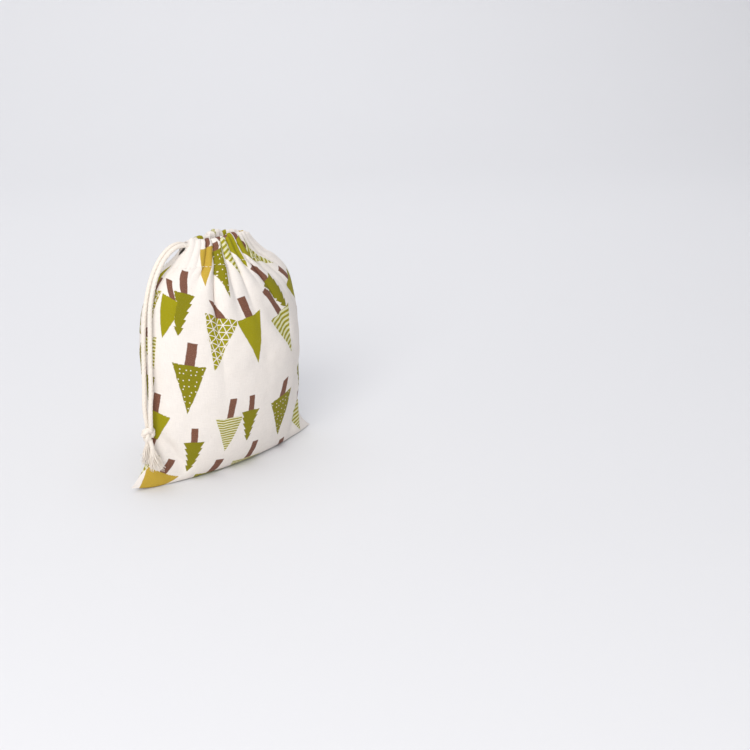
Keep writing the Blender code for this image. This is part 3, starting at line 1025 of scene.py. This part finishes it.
def make_tail(name, side, finish):
    """A short end of cord that opens into loose fibres."""
    radius = 0.5 * cord_settings().diameter
    line, _ = smooth_line(tail_route(side), LINE_STEP)
    solid = line[: int(len(line) * TAIL_SOLID)]
    parts = [plied_tube(solid, radius * 0.98, end_share=0.92)]
    chance = random.Random(11 + side)
    root = line[int(len(line) * TAIL_ROOT)]
    way = (line[-1] - root).normalized()
    first = way.orthogonal().normalized()
    second = way.cross(first)
    rest = (line[-1] - root).length
    for _ in range(FIBRES):
        angle = chance.uniform(0.0, 2.0 * math.pi)
        away = math.sqrt(chance.random())
        out = first * math.cos(angle) + second * math.sin(angle)
        reach = rest * chance.uniform(0.72, 1.12)
        fan = chance.uniform(0.2, 1.0) * FIBRE_FAN
        curl = Vector([chance.uniform(-1.0, 1.0) for _ in range(3)]) * FIBRE_CURL
        fibre = []
        for k in range(9):
            t = k / 8
            spot = root + out * (away * radius * 0.75) + way * (reach * t)
            spot = spot + out * (fan * t**1.5) + TAIL_DRIFT * t * t
            fibre.append(spot + curl * math.sin(4.5 * t) * t)
        parts.append(plied_tube(fibre, FIBRE_RADIUS, around=5, plies=1, end_share=0.5))
    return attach(add_tubes(f"{name}_frayed_tail", parts, finish, f"{name}_tail"),
                   "knot_and_tails")


STITCH_RADIUS, STITCH_PITCH, STITCH_GAP = 0.00022, 0.0026, 0.0008


def stitch(start, end, out):
    """One raised stitch of thread between two points."""
    line = []
    for k in range(7):
        t = k / 6
        lift = STITCH_RADIUS * (2.2 * math.sin(math.pi * t) - 0.7)
        line.append(start.lerp(end, t) + out * lift)
    return plied_tube(line, STITCH_RADIUS, around=8, plies=2, end_share=0.8)


def make_stitches(name, side, finish):
    """The row of stitches that closes the casing, laid on the cloth's stitch line."""
    row = tilted(casing_row(side, 0.0, face_columns()))
    parts, start, run = [], None, 0.0
    for last, spot in zip(row, row[1:]):
        run += (spot - last).length
        if start is None and run > STITCH_GAP:
            start, run = spot, 0.0
        elif start is not None and run > STITCH_PITCH - STITCH_GAP:
            middle = 0.5 * (start + spot)
            out = Vector((middle.x * 0.12, side, 0.25)).normalized()
            parts.append(stitch(start + out * STITCH_RADIUS, spot + out * STITCH_RADIUS, out))
            start, run = None, 0.0
    piece = add_tubes(f"{name}_casing_stitches", parts, finish, f"casing_stitches_{name}")
    mouth_blend(piece, side)


def make_bartack(finish):
    """Close bars of thread across the foot of the slit."""
    x = 0.5 * (BARTACK_LOW[0] + BARTACK_HIGH[0])
    z = 0.5 * (BARTACK_LOW[2] + BARTACK_HIGH[2])
    parts = []
    for k in range(9):
        y = between(BARTACK_LOW[1], BARTACK_HIGH[1], k / 8)
        lean = 0.0003 * (-1) ** k
        line = []
        for i in range(11):
            raised = 0.0008 * math.sin(math.pi * i / 10)
            line.append(Vector((x - 0.0011 + 0.00022 * i, y + lean * i / 10, z + raised)))
        parts.append(plied_tube(line, 0.00024, around=7, plies=2))
    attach(add_tubes("slit_bar_tack", parts, finish, "slit_bartack"), "pouch")


OVERCAST_TURNS = 62
OVERCAST_RADIUS, OVERCAST_RISE = 0.0012, 0.0024  # of one turn of the thread
OVERCAST_INSET = 0.0112  # from the seam


def make_overcast(name, end, finish):
    """The thread wound over the raw edges inside a side seam."""
    low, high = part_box(f"{name}_overcast_thread")
    parts = []
    for k in range(OVERCAST_TURNS):
        z = between(low[2] + 0.001, high[2] - 0.001, k / (OVERCAST_TURNS - 1))
        x = end * (body_section(z)[0] - OVERCAST_INSET)
        line = []
        for i in range(15):
            angle = 2.0 * math.pi * i / 14
            line.append(Vector((x - end * OVERCAST_RADIUS * math.cos(angle),
                                OVERCAST_RADIUS * math.sin(angle), z + OVERCAST_RISE * i / 14)))
        parts.append(plied_tube(line, 0.00018, around=6, plies=2))
    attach(add_tubes(f"{name}_overcast_stitches", parts, finish, f"{name}_overcast_thread"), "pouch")


# ---- stage
LOOK_AT = Vector((0.0, 0.0, 0.10))
AIM_RIGHT, AIM_DOWN = 0.1336, 0.0260  # where the camera aims, from the pouch's middle
SWEEP_FRONT, SWEEP_SIDE, SWEEP_TOP = 3.0, 4.0, 5.0
SWEEP_BEND, SWEEP_RADIUS = 1.2, 1.6  # where the floor starts to curve up, and how
# Each light: name, place, size, power, colour and where it points.
LIGHTS = (
    ("key", (-1.7, -1.1, 1.5), (1.3, 1.3), 34.5, (1.0, 0.985, 0.965), (0.0, 0.0, 0.1)),
    ("overhead", (0.1, 0.2, 2.2), (2.4, 2.4), 19.0, (0.99, 0.99, 1.0), (0.0, 0.0, 0.1)),
    ("low fill", (-1.5, -1.5, 0.22), (1.4, 0.4), 6.0, (1.0, 0.99, 0.98), (0.0, 0.0, 0.04)),
    ("backdrop", (0.7, 0.9, 2.1), (2.4, 2.4), 13.0, (0.99, 0.99, 1.0), (1.9, 2.4, 0.9)),
)


def point_at(thing, target):
    thing.rotation_mode = "QUATERNION"
    thing.rotation_quaternion = (target - thing.location).to_track_quat("-Z", "Y")


def make_camera():
    stage = bpy.context.scene.pouch_stage
    a, e = math.radians(stage.azimuth), math.radians(stage.elevation)
    back = Vector((math.sin(a) * math.cos(e), -math.cos(a) * math.cos(e), math.sin(e)))
    right = Vector((math.cos(a), math.sin(a), 0.0))
    up = back.cross(right)
    data = bpy.data.cameras.new("Camera")
    data.lens = stage.lens
    data.clip_start, data.clip_end = 0.05, 20.0
    camera = add_object("Camera", data)
    camera.location = LOOK_AT + back * stage.distance
    point_at(camera, LOOK_AT + right * AIM_RIGHT - up * AIM_DOWN)
    bpy.context.scene.camera = camera


def make_floor():
    """A seamless sweep: a floor that curves up far behind the pouch."""
    stage = bpy.context.scene.pouch_stage
    made, tree, shader = new_material("Paper sweep")
    where = node(tree, "ShaderNodeNewGeometry")
    grain = spots(tree, where, 900.0, 3.0)
    cloud = spots(tree, where, 2.0, 2.0)
    colour = tuple(stage.floor)
    tone = mix_colour(tree, cloud * 0.5, colour, scaled(colour, 0.97))
    plug(tree, shader, Base_Color=tone, Roughness=0.75 + grain * 0.1,
         Normal=bumped(tree, grain * 0.0001, 0.15), Specular_IOR_Level=0.3)
    profile = [(-SWEEP_FRONT, 0.0), (SWEEP_BEND, 0.0)]
    for k in range(1, 13):
        turn = 0.5 * math.pi * k / 12
        profile.append((SWEEP_BEND + SWEEP_RADIUS * math.sin(turn),
                        SWEEP_RADIUS * (1.0 - math.cos(turn))))
    profile.append((SWEEP_BEND + SWEEP_RADIUS, SWEEP_TOP))
    a = math.radians(stage.azimuth)
    ahead = Vector((-math.sin(a), math.cos(a), 0.0))
    right = Vector((math.cos(a), math.sin(a), 0.0))
    points, faces = [], []
    for along, high in profile:
        for side in (-SWEEP_SIDE, SWEEP_SIDE):
            points.append(ahead * along + right * side + Vector((0.0, 0.0, high)))
    for i in range(len(profile) - 1):
        faces.append((2 * i, 2 * i + 1, 2 * i + 3, 2 * i + 2))
    mesh = bpy.data.meshes.new("sweep")
    mesh.from_pydata(points, [], faces)
    mesh.shade_smooth()
    add_object("paper_sweep", mesh, made)


def make_lights():
    """Area lights, a pale world and the view's colours."""
    for name, place, size, power, colour, target in LIGHTS:
        data = bpy.data.lights.new(name, "AREA")
        data.shape = "RECTANGLE"
        data.size, data.size_y = size
        data.energy = power
        data.color = colour
        light = add_object(name, data)
        light.location = place
        point_at(light, Vector(target))
    world = bpy.data.worlds.new("Studio")
    world.use_nodes = True
    shade = world.node_tree.nodes["Background"]
    shade.inputs["Color"].default_value = (0.93, 0.94, 1.0, 1.0)
    shade.inputs["Strength"].default_value = 0.50
    bpy.context.scene.world = world
    bpy.context.scene.view_settings.view_transform = "Standard"


# ---- operators
class POUCH_OT_stage(bpy.types.Operator):
    """Adds the camera, the pale sweep and the soft studio light"""

    bl_idname = "pouch.stage"
    bl_label = "Stage"

    def execute(self, context):
        make_camera()
        make_floor()
        make_lights()
        return {"FINISHED"}


class POUCH_OT_cords(bpy.types.Operator):
    """Adds the drawstring: both strands, the knot, the tails and the runs in the casing"""

    bl_idname = "pouch.cords"
    bl_label = "Drawstring"

    def execute(self, context):
        finish = cotton_cord("Cotton cord", tuple(cord_settings().colour))
        knot = make_knot(finish)
        for name, side in SIDES.items():
            tail = make_tail(name, side, finish)
            make_strand(name, side, finish)
            make_run(name, side, finish)
        return {"FINISHED"}


class POUCH_OT_cloth(bpy.types.Operator):
    """Adds both printed faces with their gathered casings"""

    bl_idname = "pouch.cloth"
    bl_label = "Printed cloth"

    def execute(self, context):
        printed, reverse = printed_cotton(), reverse_cotton()
        for name, side in SIDES.items():
            make_cloth(name, side, printed, reverse)
        for name in SEAMS:
            dress_allowance(name, reverse)
        return {"FINISHED"}


class POUCH_OT_thread(bpy.types.Operator):
    """Adds the casing's stitches, the overcast edges and the bar tack under the slit"""

    bl_idname = "pouch.thread"
    bl_label = "Sewing thread"

    def execute(self, context):
        thread = cotton_cord("Sewing thread", tuple(cord_settings().thread), 0.00005)
        for name, side in SIDES.items():
            make_stitches(name, side, thread)
        for name, end in SEAMS.items():
            make_overcast(name, end, thread)
        make_bartack(thread)
        return {"FINISHED"}


class POUCH_PT_panel(bpy.types.Panel):
    """Lists the steps that build the pouch"""

    bl_label = "Gift Pouch"
    bl_idname = "POUCH_PT_panel"
    bl_space_type = "VIEW_3D"
    bl_region_type = "UI"
    bl_category = "Gift Pouch"

    def draw(self, context):
        for operator in OPERATORS:
            self.layout.operator(operator.bl_idname)
        for group in GROUPS:
            settings = getattr(context.scene, group)
            for name in settings.bl_rna.properties.keys():
                if name not in ("rna_type", "name"):
                    self.layout.prop(settings, name)


OPERATORS = (POUCH_OT_stage, POUCH_OT_cords, POUCH_OT_cloth, POUCH_OT_thread)
GROUPS = {"pouch_cloth": PouchCloth, "pouch_cord": PouchCord, "pouch_stage": PouchStage}


def register():
    for kind in (*GROUPS.values(), *OPERATORS, POUCH_PT_panel):
        bpy.utils.register_class(kind)
    for name, kind in GROUPS.items():
        setattr(bpy.types.Scene, name, PointerProperty(type=kind))


def unregister():
    for name in GROUPS:
        delattr(bpy.types.Scene, name)
    for kind in (POUCH_PT_panel, *OPERATORS, *GROUPS.values()):
        bpy.utils.unregister_class(kind)


def main():
    register()
    bpy.ops.pouch.stage()
    bpy.ops.pouch.cords()
    bpy.ops.pouch.cloth()
    bpy.ops.pouch.thread()


if __name__ == "__main__":
    main()
